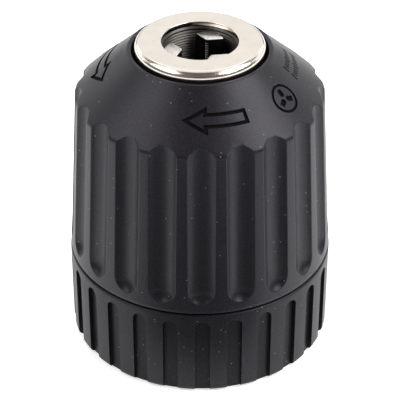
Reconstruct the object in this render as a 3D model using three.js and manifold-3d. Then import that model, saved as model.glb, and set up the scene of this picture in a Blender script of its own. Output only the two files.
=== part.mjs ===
// Keyless drill chuck for 1.5 to 13 mm shanks, in millimetres, +Z towards the nose.
// The front sleeve turns a split nut, whose conical thread slides three slanted jaws.
import * as THREE from 'three';
import { mergeVertices } from 'three/addons/utils/BufferGeometryUtils.js';
import Module from 'manifold-3d';

const wasm = await Module();
wasm.setup();

const degrees = THREE.MathUtils.degToRad;
const SIDES = 32; // facets of a turned piece

// Overall sizes
const REAR_LENGTH = 17.5; // resting rim to the seam between the sleeves
const FRONT_LENGTH = 41.7; // seam to the top of the nosepiece
const OUTER_R = 24.1;
const GAP = 0.3; // between pieces that touch on the real chuck

// Grip sleeves
const SEAM = 0.4;
const TAPER = Math.tan(degrees(3.3)); // of the front sleeve's lands
const WALL = 1.8; // under the flutes and the slots
const LIP_R = 12.85; // inner end of the front sleeve's shoulder
const LIP_DROP = 1.8; // nosepiece top down to the lip
const SHOULDER_SLOPE = Math.tan(degrees(41.5));
const CORNER = 1.1; // rounding between shoulder and lands
const FLUTES = 21;
const FLUTE_WIDTH = 5.1;
const FLUTE_DEPTH = 1.2;
const FLUTE_END = 2.0; // seam up to the flutes' round ends
const FLUTE_TURN = degrees(0.7); // first flute from -Y
const RIBS = 6; // drive ribs between the front sleeve and the nut band
const RIB_WIDTH = 2.4;
const RIB_DEPTH = 0.6; // into the nut band
const SLOTS = 26;
const SLOT_WIDTH = 2.7;
const SLOT_DEPTH = 0.8;
const SLOT_END = 1.65; // seam down to the slots' round ends
const SLOT_TURN = degrees(1.05); // first slot from -Y
const RIM_ROUND = 1.0;
const RIM_WALL = 3.1;
const SPIGOT_HEIGHT = 2.2; // rear sleeve's spigot inside the front sleeve
const WEB_FLOOR = 2.0; // rear sleeve's web on the body's tail
const WEB_THICK = 5.0;
const COVER_THICK = 1.0;

// Nosepiece
const HOLE_R = 6.75;
const NOSE_FLAT_R = 10.2;
const NOSE_R = 11.5;
const NOSE_THICK = 0.9;
const SKIRT_WALL = 0.8;
const SKIRT_LENGTH = 6.5;

// Jaws, in the pose that grips a 6.1 mm shank
const JAWS = 3;
const JAW_TURN = degrees(68); // first jaw from +X
const SLANT = degrees(15);
const JAW_R = 2.9;
const JAW_LENGTH = 34.5;
const GRIP_R = 3.05; // chuck axis to the gripping edge
const GRIP_EDGE = 0.15; // gripping edge inwards of the jaw's own axis at the tip
const TIP_DEPTH = 1.5; // nosepiece top down to the jaw tips
const JAW_BORE_GAP = 0.25;

// Thread between nut and jaws, measured along the jaws
const PITCH = 2.0;
const TOOTH_DEPTH = 1.1;
const CREST_GAP = 0.5; // nut crest over the jaw's groove floor, which is straight
const CREST_HALF = 0.22;
const FLANK = 0.25; // half width gained per depth
const TOOTH_SMOOTH = 5.6; // toothless length at a jaw's tip
const BACKLASH = 0.27;
const THREAD_STEPS = 20; // per turn

// Nut, nut band and thrust bearing
const NUT_TOP_DROP = 20.0; // nosepiece top down to the nut
const NUT_HEIGHT = 8.2;
const NUT_R = 16.3;
const NUT_FLANGE = 2.0;
const BAND_WALL = 1.3;
const RACE_THICK = 1.0;
const BALLS = 12;
const BALL_R = 1.3;
const RACE_EDGE = 0.7; // races on either side of the balls
const RACE_WALL = 2 * (BALL_R + RACE_EDGE);
const CAGE_THICK = 1.2;

// Body
const BORE_R = 6.52;
const NECK_R = 10.1; // under the nut
const COLLAR_R = 12.4; // in front of the nut
const COLLAR_LENGTH = 9.0;
const FLANGE_THICK = 4.1;
const TAIL_R = 11.3;
const TAIL_Z = 0.6; // tail face above the resting rim
const SOCKET_R = 5.9;
const SOCKET_DEPTH = 16.4;
const THROUGH_R = 3.3;
const PARTITION = 3.0; // between the spindle socket and the shank bore

// Places that follow from the sizes
const TOP = REAR_LENGTH + FRONT_LENGTH;
const TIP_Z = TOP - TIP_DEPTH;
const TIP_AXIS_R = GRIP_R + GRIP_EDGE;
const NUT_TOP = TOP - NUT_TOP_DROP;
const NUT_BASE = NUT_TOP - NUT_HEIGHT;
const FRONT_RACE_Z = NUT_BASE - GAP - RACE_THICK;
const BALL_Z = FRONT_RACE_Z - GAP - BALL_R;
const REAR_RACE_Z = BALL_Z - BALL_R - GAP - RACE_THICK;
const FLANGE_TOP = REAR_RACE_Z - GAP;
const RACE_IN = jawLineR(REAR_RACE_Z, JAW_R) + GAP + 0.15;
const RACE_OUT = RACE_IN + RACE_WALL;
const BALL_CIRCLE = (RACE_IN + RACE_OUT) / 2;
const FLANGE_R = RACE_OUT + GAP;
const RIDGE_CREST = JAW_R - TOOTH_DEPTH + CREST_GAP; // from the jaw's axis
const BAND_IN = NUT_R + GAP;
const BAND_OUT = BAND_IN + BAND_WALL;

// Radius at height z of a line that runs along the jaws, outside their axis by offset.
function jawLineR(z, offset) {
  return TIP_AXIS_R + (TIP_Z - z) * Math.tan(SLANT) + offset / Math.cos(SLANT);
}

function landR(z) {
  return OUTER_R - 0.1 - (z - REAR_LENGTH) * TAPER;
}

function sleeveInnerR(z) {
  return landR(z) - FLUTE_DEPTH - WALL;
}

// Solids

function solid(geometry) {
  const bare = new THREE.BufferGeometry();
  bare.setAttribute('position', geometry.getAttribute('position'));
  bare.setIndex(geometry.index);
  const merged = mergeVertices(bare, 1e-5);
  return new wasm.Manifold(new wasm.Mesh({
    numProp: 3,
    vertProperties: merged.getAttribute('position').array,
    triVerts: Uint32Array.from(merged.index.array),
  }));
}

// A ring turned about Z from [r, z] points, up the outside and down the inside.
function turned(profile, segments) {
  const points = [...profile, profile[0]].map(([r, z]) => new THREE.Vector2(r, z));
  return solid(new THREE.LatheGeometry(points, segments).rotateX(Math.PI / 2));
}

function ring(innerR, outerR, base, top) {
  return turned([[innerR, base], [outerR, base], [outerR, top], [innerR, top]], SIDES);
}

// A shape drawn in X and Z and extruded towards -Y from y = start.
function slab(shape, start, depth) {
  const options = { depth, bevelEnabled: false, curveSegments: 3 };
  return new THREE.ExtrudeGeometry(shape, options).rotateX(Math.PI / 2).translate(0, start, 0);
}

function box(x0, x1, y0, y1, z0, z1) {
  const geometry = new THREE.BoxGeometry(x1 - x0, y1 - y0, z1 - z0);
  return geometry.translate((x0 + x1) / 2, (y0 + y1) / 2, (z0 + z1) / 2);
}

// Copies of one geometry, evenly spaced about Z.
function around(count, geometry, apply, start) {
  let result = start;
  for (let i = 0; i < count; i += 1) {
    const copy = geometry.clone().rotateZ((i * 2 * Math.PI) / count);
    result = apply(result, solid(copy));
  }
  return result;
}

const cut = (body, tool) => body.subtract(tool);
const join = (body, tool) => body.add(tool);

function quarter(r, z, radius, from, steps) {
  const points = [];
  for (let i = 0; i <= steps; i += 1) {
    const angle = from + (i / steps) * (Math.PI / 2);
    points.push([r + radius * Math.cos(angle), z + radius * Math.sin(angle)]);
  }
  return points;
}

// Places geometry drawn with Z along a jaw and X away from the chuck's axis.
function alongJaw(geometry) {
  return geometry.rotateY(-SLANT).translate(TIP_AXIS_R, 0, TIP_Z);
}

// Sleeves

function shoulderPoints() {
  const lipZ = TOP - LIP_DROP;
  const rise = lipZ + LIP_R * SHOULDER_SLOPE;
  const base = OUTER_R - 0.1 + REAR_LENGTH * TAPER;
  const cornerR = (base - TAPER * rise) / (1 - TAPER * SHOULDER_SLOPE);
  const cornerZ = rise - cornerR * SHOULDER_SLOPE;
  const curve = new THREE.QuadraticBezierCurve(
    new THREE.Vector2(landR(cornerZ - CORNER), cornerZ - CORNER),
    new THREE.Vector2(cornerR, cornerZ),
    new THREE.Vector2(cornerR - CORNER * 0.75, cornerZ + CORNER * 0.75 * SHOULDER_SLOPE),
  );
  return { lipZ, cornerR, cornerZ, arc: curve.getPoints(3).map((p) => [p.x, p.y]) };
}

function frontSleeveBlank() {
  const { lipZ, cornerR, cornerZ, arc } = shoulderPoints();
  const base = REAR_LENGTH + SEAM / 2;
  const openingR = NOSE_R + SEAM + 0.1;
  const underside = lipZ - WALL - 1.2;
  const shoulderR = cornerR - FLUTE_DEPTH - WALL;
  const outside = [[landR(base), base], ...arc, [LIP_R, lipZ], [openingR, lipZ + 0.2]];
  const inside = [
    [openingR, underside],
    [shoulderR, underside - (shoulderR - openingR) * SHOULDER_SLOPE],
    [sleeveInnerR(cornerZ - 5), cornerZ - 5],
    [sleeveInnerR(base), base],
  ];
  return turned([...outside, ...inside], 2 * FLUTES);
}

// A flute is the side of a long capsule that leans with the taper.
function fluteTool() {
  const radius = (FLUTE_WIDTH ** 2 / 4 + FLUTE_DEPTH ** 2) / (2 * FLUTE_DEPTH);
  const z = REAR_LENGTH + FLUTE_END + FLUTE_WIDTH / 2;
  const capsule = new THREE.CapsuleGeometry(radius, FRONT_LENGTH, 3, 12);
  capsule.translate(0, FRONT_LENGTH / 2, 0).rotateX(Math.PI / 2).rotateX(-Math.atan(TAPER));
  return capsule.translate(0, -(landR(z) - FLUTE_DEPTH + radius), z);
}

function frontSleeve() {
  const ribBase = NUT_BASE + NUT_FLANGE + 2 * GAP;
  const ribOut = sleeveInnerR(NUT_TOP) + WALL / 2;
  const half = RIB_WIDTH / 2;
  const rib = box(BAND_OUT - RIB_DEPTH, ribOut, -half, half, ribBase, NUT_TOP - GAP);
  const ribbed = around(RIBS, rib, join, frontSleeveBlank());
  return around(FLUTES, fluteTool(), cut, ribbed);
}

function slotTool() {
  const half = SLOT_WIDTH / 2;
  const end = REAR_LENGTH - SLOT_END - half;
  const shape = new THREE.Shape();
  shape.moveTo(-half, -1).lineTo(half, -1);
  shape.absarc(0, end, half, 0, Math.PI, false);
  shape.lineTo(-half, -1);
  return slab(shape, -(OUTER_R - SLOT_DEPTH), 3);
}

function rearSleeve() {
  const top = REAR_LENGTH - SEAM / 2;
  const spigotOut = sleeveInnerR(top + SPIGOT_HEIGHT) - GAP;
  const spigotIn = FLANGE_R + GAP;
  const cavityR = OUTER_R - RIM_WALL;
  const hubR = TAIL_R + GAP;
  const blank = turned([
    ...quarter(OUTER_R - RIM_ROUND, RIM_ROUND, RIM_ROUND, -Math.PI / 2, 2),
    [OUTER_R, top - 0.4],
    [OUTER_R - 0.4, top],
    [spigotOut, top],
    [spigotOut, top + SPIGOT_HEIGHT],
    [spigotIn, top + SPIGOT_HEIGHT],
    [spigotIn, top - 1],
    [cavityR, top - 2],
    [cavityR, WEB_FLOOR + WEB_THICK],
    [hubR, WEB_FLOOR + WEB_THICK],
    [hubR, WEB_FLOOR],
    [cavityR, WEB_FLOOR],
    [cavityR, 0],
  ], 2 * SLOTS);
  return around(SLOTS, slotTool(), cut, blank);
}

function rearCover() {
  const top = WEB_FLOOR - GAP;
  return ring(TAIL_R + GAP, OUTER_R - RIM_WALL - GAP, top - COVER_THICK, top);
}

function nosepiece() {
  const innerR = NOSE_R - SKIRT_WALL;
  const corner = NOSE_R - NOSE_FLAT_R;
  return turned([
    [innerR, TOP - SKIRT_LENGTH],
    [NOSE_R, TOP - SKIRT_LENGTH],
    ...quarter(NOSE_FLAT_R, TOP - corner, corner, 0, 3),
    [HOLE_R + 0.2, TOP],
    [HOLE_R, TOP - 0.2],
    [HOLE_R, TOP - NOSE_THICK],
    [innerR, TOP - NOSE_THICK],
  ], SIDES);
}

// Body and jaws

function chuckBody() {
  const nose = TOP - NOSE_THICK - GAP;
  const noseR = NOSE_R - SKIRT_WALL - GAP;
  const collarBase = NUT_TOP + GAP;
  const collarTop = collarBase + COLLAR_LENGTH;
  const socketTop = TAIL_Z + SOCKET_DEPTH;
  const blank = turned([
    [SOCKET_R + 0.6, TAIL_Z],
    [TAIL_R - 0.4, TAIL_Z],
    [TAIL_R, TAIL_Z + 0.4],
    [TAIL_R, FLANGE_TOP - FLANGE_THICK],
    [FLANGE_R, FLANGE_TOP - FLANGE_THICK],
    [FLANGE_R, FLANGE_TOP],
    [RACE_IN - GAP, FLANGE_TOP],
    [RACE_IN - GAP, NUT_BASE - GAP],
    [NECK_R, NUT_BASE - GAP],
    [NECK_R, collarBase],
    [COLLAR_R, collarBase],
    [COLLAR_R, collarTop],
    [noseR, collarTop + COLLAR_R - noseR],
    [noseR, nose],
    [BORE_R + 0.45, nose],
    [BORE_R, nose - 0.45],
    [BORE_R, socketTop + PARTITION + 1],
    [THROUGH_R, socketTop + PARTITION],
    [THROUGH_R, socketTop],
    [SOCKET_R, socketTop],
    [SOCKET_R, TAIL_Z + 0.6],
  ], SIDES);
  const length = 2 * JAW_LENGTH;
  const drillR = JAW_R + JAW_BORE_GAP;
  const drill = new THREE.CylinderGeometry(drillR, drillR, length, 20);
  alongJaw(drill.rotateX(Math.PI / 2).translate(0, 0, 5 - length / 2));
  return around(JAWS, drill.rotateZ(JAW_TURN), cut, blank);
}

// Place along a jaw of the thread ridge that passes azimuth after a number of turns.
function ridgePlace(azimuth, turns) {
  return PITCH * (azimuth / (2 * Math.PI) + turns);
}

function ridgeHalf(offset) {
  return CREST_HALF + FLANK * (offset - RIDGE_CREST);
}

function toothTool(azimuth) {
  const floor = JAW_R - TOOTH_DEPTH;
  const edge = JAW_R + 0.2;
  const shape = new THREE.Shape();
  const first = Math.ceil((-JAW_LENGTH - ridgePlace(azimuth, 0)) / PITCH);
  const last = Math.floor((-TOOTH_SMOOTH - ridgePlace(azimuth, 0)) / PITCH);
  shape.moveTo(JAW_R + 2, ridgePlace(azimuth, first) - 0.1);
  for (let turns = first; turns <= last; turns += 1) {
    const place = ridgePlace(azimuth, turns);
    shape.lineTo(edge, place - ridgeHalf(edge) - BACKLASH);
    shape.lineTo(floor, place - ridgeHalf(floor) - BACKLASH);
    shape.lineTo(floor, place + ridgeHalf(floor) + BACKLASH);
    shape.lineTo(edge, place + ridgeHalf(edge) + BACKLASH);
  }
  shape.lineTo(JAW_R + 2, ridgePlace(azimuth, last) + 0.1);
  return solid(alongJaw(slab(shape, JAW_R + 0.5, 2 * JAW_R + 1)));
}

function jaw(azimuth) {
  const rod = new THREE.CylinderGeometry(JAW_R, JAW_R, JAW_LENGTH + 3, 16);
  alongJaw(rod.rotateX(Math.PI / 2).translate(0, 0, (3 - JAW_LENGTH) / 2));
  const reach = 20;
  const wedge = new THREE.Shape();
  wedge.moveTo(GRIP_R, 0);
  wedge.lineTo(GRIP_R + reach, -reach * Math.tan(degrees(60)));
  wedge.lineTo(GRIP_R + reach, reach * Math.tan(degrees(60)));
  const depth = JAW_LENGTH + 5;
  const grip = new THREE.ExtrudeGeometry(wedge, { depth, bevelEnabled: false });
  grip.translate(0, 0, TIP_Z - depth);
  return solid(rod).intersect(solid(grip)).subtract(toothTool(azimuth));
}

// Nut and bearing

// The nut's conical thread ridge, swept a little past both ends of the nut.
function threadRidge() {
  const root = JAW_R + 2 * GAP;
  const section = [
    [RIDGE_CREST, -CREST_HALF], [root, -ridgeHalf(root)],
    [root, ridgeHalf(root)], [RIDGE_CREST, CREST_HALF],
  ];
  const low = (NUT_BASE - TIP_Z - 2) / Math.cos(SLANT);
  const high = (NUT_TOP - TIP_Z) / Math.cos(SLANT);
  const start = Math.floor((low / PITCH) * THREAD_STEPS);
  const end = Math.ceil((high / PITCH) * THREAD_STEPS);
  const positions = [];
  for (let step = start; step <= end; step += 1) {
    const azimuth = (step / THREAD_STEPS) * 2 * Math.PI;
    for (const [offset, width] of section) {
      const along = ridgePlace(azimuth, 0) + width;
      const r = TIP_AXIS_R - along * Math.sin(SLANT) + offset * Math.cos(SLANT);
      const z = TIP_Z + along * Math.cos(SLANT) + offset * Math.sin(SLANT);
      positions.push(r * Math.cos(azimuth), r * Math.sin(azimuth), z);
    }
  }
  const index = [0, 1, 2, 0, 2, 3];
  for (let i = 0; i < (end - start) * 4; i += 1) {
    const next = i % 4 === 3 ? i - 3 : i + 1;
    index.push(i, i + 4, next, next, i + 4, next + 4);
  }
  const tail = (end - start) * 4;
  index.push(tail, tail + 2, tail + 1, tail, tail + 3, tail + 2);
  const geometry = new THREE.BufferGeometry();
  geometry.setAttribute('position', new THREE.Float32BufferAttribute(positions, 3));
  geometry.setIndex(index);
  return solid(geometry);
}

function nut() {
  const rootLow = jawLineR(NUT_BASE, JAW_R + GAP);
  const rootHigh = jawLineR(NUT_TOP, JAW_R + GAP);
  const blank = turned([
    [rootLow, NUT_BASE],
    [BAND_OUT, NUT_BASE],
    [BAND_OUT, NUT_BASE + NUT_FLANGE],
    [NUT_R, NUT_BASE + NUT_FLANGE],
    [NUT_R, NUT_TOP],
    [rootHigh, NUT_TOP],
  ], THREAD_STEPS);
  const slice = ring(NECK_R - 2, NUT_R - 1, NUT_BASE, NUT_TOP);
  return blank.add(threadRidge().intersect(slice));
}

function nutHalf(side) {
  const reach = BAND_OUT + 1;
  const half = box(GAP / 2, reach, -reach, reach, NUT_BASE - 1, NUT_TOP + 1);
  return nut().intersect(solid(half.rotateZ(side * Math.PI)));
}

function nutBand() {
  const band = ring(BAND_IN, BAND_OUT, NUT_BASE + NUT_FLANGE + GAP, NUT_TOP);
  const half = RIB_WIDTH / 2 + GAP;
  const notch = box(BAND_OUT - RIB_DEPTH - GAP, BAND_OUT + 1, -half, half, NUT_BASE, NUT_TOP + 1);
  return around(RIBS, notch, cut, band);
}

function ballCage() {
  const base = BALL_Z - CAGE_THICK / 2;
  const cage = ring(RACE_IN + GAP, RACE_OUT - GAP, base, base + CAGE_THICK);
  const hole = new THREE.CylinderGeometry(BALL_R + GAP, BALL_R + GAP, 2 * CAGE_THICK, 8);
  hole.rotateX(Math.PI / 2).translate(BALL_CIRCLE, 0, BALL_Z);
  return around(BALLS, hole, cut, cage);
}

// Assembly

const chuck = new THREE.Group();

const finishes = {
  grip: { color: 0x2d2d2f, roughness: 0.62, metalness: 0 },
  nickel: { color: 0xd9d0c6, roughness: 0.22, metalness: 1 },
  body: { color: 0x77787a, roughness: 0.4, metalness: 1 },
  jaw: { color: 0xa6a6a8, roughness: 0.35, metalness: 1 },
  nut: { color: 0x6e6a66, roughness: 0.45, metalness: 1 },
  race: { color: 0x9c9ea2, roughness: 0.25, metalness: 1 },
  ball: { color: 0xc4c6c9, roughness: 0.1, metalness: 1 },
  cage: { color: 0xb9975a, roughness: 0.4, metalness: 1 },
};

function place(name, geometry, finish, turn = 0) {
  const mesh = new THREE.Mesh(geometry, new THREE.MeshStandardMaterial(finish));
  mesh.name = name;
  mesh.rotation.z = turn;
  chuck.add(mesh);
  return mesh;
}

function placeSolid(name, manifold, finish, turn = 0) {
  const { vertProperties, triVerts } = manifold.getMesh();
  const geometry = new THREE.BufferGeometry();
  geometry.setAttribute('position', new THREE.BufferAttribute(vertProperties, 3));
  geometry.setIndex(new THREE.BufferAttribute(triVerts, 1));
  const flat = geometry.toNonIndexed();
  flat.computeVertexNormals();
  return place(name, flat, finish, turn);
}

placeSolid('chuck_body', chuckBody(), finishes.body);
placeSolid('nosepiece', nosepiece(), finishes.nickel);
placeSolid('front_sleeve', frontSleeve(), finishes.grip, FLUTE_TURN);
placeSolid('rear_sleeve', rearSleeve(), finishes.grip, SLOT_TURN);
placeSolid('rear_cover', rearCover(), finishes.race);

for (let i = 0; i < JAWS; i += 1) {
  const azimuth = JAW_TURN + (i * 2 * Math.PI) / JAWS;
  placeSolid(`jaw_${i + 1}`, jaw(azimuth), finishes.jaw, azimuth);
}

placeSolid('nut_half_1', nutHalf(0), finishes.nut);
placeSolid('nut_half_2', nutHalf(1), finishes.nut);
placeSolid('nut_band', nutBand(), finishes.race, FLUTE_TURN);

const raceRing = (base) => ring(RACE_IN, RACE_OUT, base, base + RACE_THICK);
placeSolid('front_race', raceRing(FRONT_RACE_Z), finishes.race);
placeSolid('rear_race', raceRing(REAR_RACE_Z), finishes.race);
placeSolid('ball_cage', ballCage(), finishes.cage);

for (let i = 0; i < BALLS; i += 1) {
  const angle = (i * 2 * Math.PI) / BALLS;
  const ball = place(`ball_${i + 1}`, new THREE.IcosahedronGeometry(BALL_R, 1), finishes.ball);
  ball.position.set(BALL_CIRCLE * Math.cos(angle), BALL_CIRCLE * Math.sin(angle), BALL_Z);
}

export default chuck;
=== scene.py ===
"""A keyless drill chuck: smooth moulded, plated and turned pieces around its CAD frame."""
import math

import bmesh
import bpy
from mathutils import Matrix, Vector


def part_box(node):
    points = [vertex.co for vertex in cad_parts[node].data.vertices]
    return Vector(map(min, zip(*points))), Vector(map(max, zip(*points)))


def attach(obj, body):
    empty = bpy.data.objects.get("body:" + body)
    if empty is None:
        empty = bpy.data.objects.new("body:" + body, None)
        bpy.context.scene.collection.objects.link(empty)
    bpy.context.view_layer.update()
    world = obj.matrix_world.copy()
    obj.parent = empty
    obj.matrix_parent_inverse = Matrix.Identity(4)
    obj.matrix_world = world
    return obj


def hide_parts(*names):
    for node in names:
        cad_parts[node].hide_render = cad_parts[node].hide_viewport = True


bl_info = {
    "name": "Keyless Drill Chuck",
    "version": (1, 0, 0),
    "blender": (4, 5, 0),
    "location": "3D View > Sidebar > Chuck",
    "description": "Builds the visible pieces of a keyless drill chuck on its CAD frame",
    "category": "Add Mesh",
}

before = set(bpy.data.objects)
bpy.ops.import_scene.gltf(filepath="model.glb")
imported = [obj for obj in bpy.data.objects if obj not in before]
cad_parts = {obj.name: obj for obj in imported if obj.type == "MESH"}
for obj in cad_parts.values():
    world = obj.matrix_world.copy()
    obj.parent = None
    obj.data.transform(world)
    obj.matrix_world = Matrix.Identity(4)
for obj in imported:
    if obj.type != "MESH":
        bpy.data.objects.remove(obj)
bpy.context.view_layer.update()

MM = 0.001
REAR_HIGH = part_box("rear_sleeve")[1]
FRONT_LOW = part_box("front_sleeve")[0]
NOSE_LOW, NOSE_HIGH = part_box("nosepiece")
BODY_LOW, BODY_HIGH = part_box("chuck_body")
COVER_LOW, COVER_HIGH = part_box("rear_cover")
TOP = NOSE_HIGH.z
GAP = 0.3 * MM  # between pieces that touch on the real chuck
TIP = TOP - 1.5 * MM  # the jaws' tips at rest
BALL_RADIUS = 1.3 * MM
LAND_DROP = 0.1 * MM  # the front sleeve's lands inside the rear sleeve's at the seam
JAWS = 3
SERRATIONS = 23
FELT_PLACE = (0, -100 * MM, 0.5 * MM)  # in front of the chuck
FELT_CORE = 58 * MM  # radius of its solid part
FELT_EDGE = 79 * MM
AIM = Vector((0, 0, 25.57 * MM))  # the camera's target
CAMERA_ELEVATION = 34.54  # degrees
CAMERA_DISTANCE = 315 * MM
LENS = 153.57  # on a sensor 36 wide
FLUTE_COLUMNS, EDGE_COLUMNS, HALF_SECTOR = 8, 5, 16  # mesh columns from a flute's middle outwards


# Settings


def length_property(name, description, default):
    return bpy.props.FloatProperty(name=name, description=description, default=default,
                                   unit="LENGTH", precision=5, min=0.0)


def angle_property(name, description, degrees):
    return bpy.props.FloatProperty(name=name, description=description,
                                   default=math.radians(degrees), subtype="ANGLE")


def count_property(name, description, default):
    return bpy.props.IntProperty(name=name, description=description, default=default, min=3)


def hex_property(name, description, default):
    return bpy.props.StringProperty(name=name, description=description, default=default)


class ChuckSleeves(bpy.types.PropertyGroup):
    outer_radius: length_property("Outer radius", "Radius of the rear sleeve", REAR_HIGH.x)
    wall: length_property("Wall", "Plastic left under the flutes", 1.8 * MM)
    taper: angle_property("Taper", "Lean of the front sleeve's lands", 3.3)
    shoulder_slope: angle_property("Shoulder slope", "Angle of the conical shoulder below horizontal", 41.5)
    corner: length_property("Corner", "Length of the rounding between shoulder and lands", 0.6 * MM)
    lip_radius: length_property("Lip radius", "Inner end of the shoulder", 12.85 * MM)
    lip_drop: length_property("Lip drop", "Nosepiece top down to the lip", 1.8 * MM)
    flutes: count_property("Flutes", "Flutes around the front sleeve", 21)
    flute_width: length_property("Flute width", "Width of one flute", 5.1 * MM)
    flute_depth: length_property("Flute depth", "Depth of one flute", 1.2 * MM)
    flute_end: length_property("Flute end", "Seam up to the round end of a flute", 2.0 * MM)
    flute_turn: angle_property("Flute turn", "First flute from -Y", 0.7)
    edge_round: length_property("Edge rounding", "How softly a land turns into a flute", 0.13 * MM)
    slots: count_property("Slots", "Slots around the rear sleeve", 26)
    slot_width: length_property("Slot width", "Width of one slot", 2.7 * MM)
    slot_depth: length_property("Slot depth", "Depth of one slot", 0.8 * MM)
    slot_end: length_property("Slot end", "Seam down to the round end of a slot", 1.65 * MM)
    slot_turn: angle_property("Slot turn", "First slot from -Y", 1.05)
    seam: length_property("Seam", "Gap between the two sleeves", 0.4 * MM)
    mark_depth: length_property("Mark depth", "Depth of the engraved marks", 0.28 * MM)
    mark_line: length_property("Mark line", "Width of an engraved line", 0.66 * MM)


class ChuckNose(bpy.types.PropertyGroup):
    hole_radius: length_property("Hole radius", "Hole in the nosepiece", 6.75 * MM)
    flat_radius: length_property("Flat radius", "Outer end of the nosepiece's flat face", 10.2 * MM)
    plate: length_property("Plate", "Thickness of the nosepiece's face", 0.85 * MM)
    bore_radius: length_property("Bore radius", "Bore that takes the shank", 6.52 * MM)
    ridge_pitch: length_property("Ridge pitch", "Spacing of the tool ridges in the bore", 0.53 * MM)
    ridge_depth: length_property("Ridge depth", "Depth of the tool ridges in the bore", 0.2 * MM)


class ChuckJaws(bpy.types.PropertyGroup):
    slant: angle_property("Slant", "Angle between a jaw and the chuck's axis", 15)
    first: angle_property("First jaw", "Azimuth of the first jaw from +X", 68)
    radius: length_property("Jaw radius", "Radius of a jaw's rod", 2.9 * MM)
    length: length_property("Jaw length", "Length of a jaw", 34.5 * MM)
    grip: length_property("Grip radius", "Chuck axis to the gripping edge", 3.05 * MM)
    edge: length_property("Edge", "Gripping edge inwards of the jaw's own axis at the tip", 0.15 * MM)
    pitch: length_property("Thread pitch", "Pitch of the teeth along the jaw", 2.0 * MM)
    tooth_depth: length_property("Tooth depth", "Depth of the teeth", 1.1 * MM)
    smooth_length: length_property("Smooth length", "Toothless length at the tip", 5.6 * MM)


class ChuckFinishes(bpy.types.PropertyGroup):
    grip: hex_property("Grip plastic", "Moulded nylon of both sleeves", "#17151A")
    # Mark colour: painted shade, near black on the engraved marks' faces where the recesses fall in shade.
    paint: hex_property("Mark shade", "Black fill of the engraved marks", "#0B0B0D")
    nickel: hex_property("Nickel", "Plating of the nosepiece", "#F0E8DD")
    steel: hex_property("Body steel", "Turned and oiled steel of the body", "#565450")
    jaw: hex_property("Jaw steel", "Ground faces of the jaws", "#E9E5E1")
    oxide: hex_property("Black oxide", "Unground faces of the jaws", "#3A3A3B")
    race: hex_property("Race steel", "Ground bearing steel", "#B5B4B2")
    zinc: hex_property("Zinc", "Passivated zinc of the rear cover", "#A9AAAE")
    brass: hex_property("Brass", "Stamped ball cage", "#C4A062")


# Materials


def linear(code):
    """An sRGB hex colour as linear red, green, blue and alpha."""
    channels = [int(code[i:i + 2], 16) / 255 for i in (1, 3, 5)]
    return [c / 12.92 if c <= 0.04045 else ((c + 0.055) / 1.055) ** 2.4 for c in channels] + [1]


def add_node(tree, kind, inputs=None, **settings):
    """Adds a node with its settings; an input is a value or the socket that feeds it."""
    node = tree.nodes.new(kind)
    for key, value in settings.items():
        setattr(node, key, value)
    for key, value in (inputs or {}).items():
        if isinstance(value, bpy.types.NodeSocket):
            tree.links.new(value, node.inputs[key])
        else:
            node.inputs[key].default_value = value
    return node


def start_material(name):
    """A material with a Principled shader, and the socket of its Object coordinates."""
    material = bpy.data.materials.new(name)
    material.use_nodes = True
    tree = material.node_tree
    tree.nodes.clear()
    shader = add_node(tree, "ShaderNodeBsdfPrincipled")
    add_node(tree, "ShaderNodeOutputMaterial", {"Surface": shader.outputs["BSDF"]})
    place = add_node(tree, "ShaderNodeTexCoord").outputs["Object"]
    return material, tree, shader, place


def ramp(tree, fac, *stops):
    """A colour ramp through (position, colour) stops."""
    node = add_node(tree, "ShaderNodeValToRGB", {"Fac": fac})
    elements = node.color_ramp.elements
    while len(elements) < len(stops):
        elements.new(1.0)
    for element, (position, colour) in zip(elements, stops):
        element.position = position
        element.color = colour
    return node.outputs["Color"]


def shade(code, factor):
    return [c * factor for c in linear(code)[:3]] + [1]


def moulded_nylon(name, code, grain, gleam):
    """Glass-filled nylon from a spark-eroded mould: dark, satin, with fine violet grain."""
    material, tree, shader, place = start_material(name)
    grains = add_node(tree, "ShaderNodeTexNoise", {
        "Vector": place, "Scale": 1 / grain, "Detail": 2.0, "Roughness": 0.7})
    flow = add_node(tree, "ShaderNodeTexNoise", {
        "Vector": place, "Scale": 1 / (6 * MM), "Detail": 2.0})
    dust = add_node(tree, "ShaderNodeTexVoronoi", {
        "Vector": place, "Scale": 1 / (1.7 * MM), "Randomness": 1.0})
    base = ramp(tree, grains.outputs["Fac"],
                (0.37, shade(code, 0.5)), (0.5, shade(code, 1.0)), (0.65, shade(code, 2.1)))
    specks = ramp(tree, dust.outputs["Distance"],
                  (0.055, (0.36, 0.35, 0.36, 1)), (0.075, (0, 0, 0, 1)))
    colour = add_node(tree, "ShaderNodeMix", {
        "Factor": 0.5, 6: base, 7: specks}, data_type="RGBA", blend_type="ADD")
    tree.links.new(colour.outputs[2], shader.inputs["Base Color"])
    gloss = add_node(tree, "ShaderNodeMapRange", {
        "Value": flow.outputs["Fac"], "To Min": 0.34, "To Max": 0.42})
    tree.links.new(gloss.outputs["Result"], shader.inputs["Roughness"])
    bump = add_node(tree, "ShaderNodeBump", {
        "Height": grains.outputs["Fac"], "Strength": 0.45, "Distance": 0.03 * MM})
    tree.links.new(bump.outputs["Normal"], shader.inputs["Normal"])
    shader.inputs["IOR"].default_value = 1.53
    shader.inputs["Specular IOR Level"].default_value = gleam
    shader.inputs["Specular Tint"].default_value = (0.94, 0.92, 1, 1)
    return material


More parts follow.
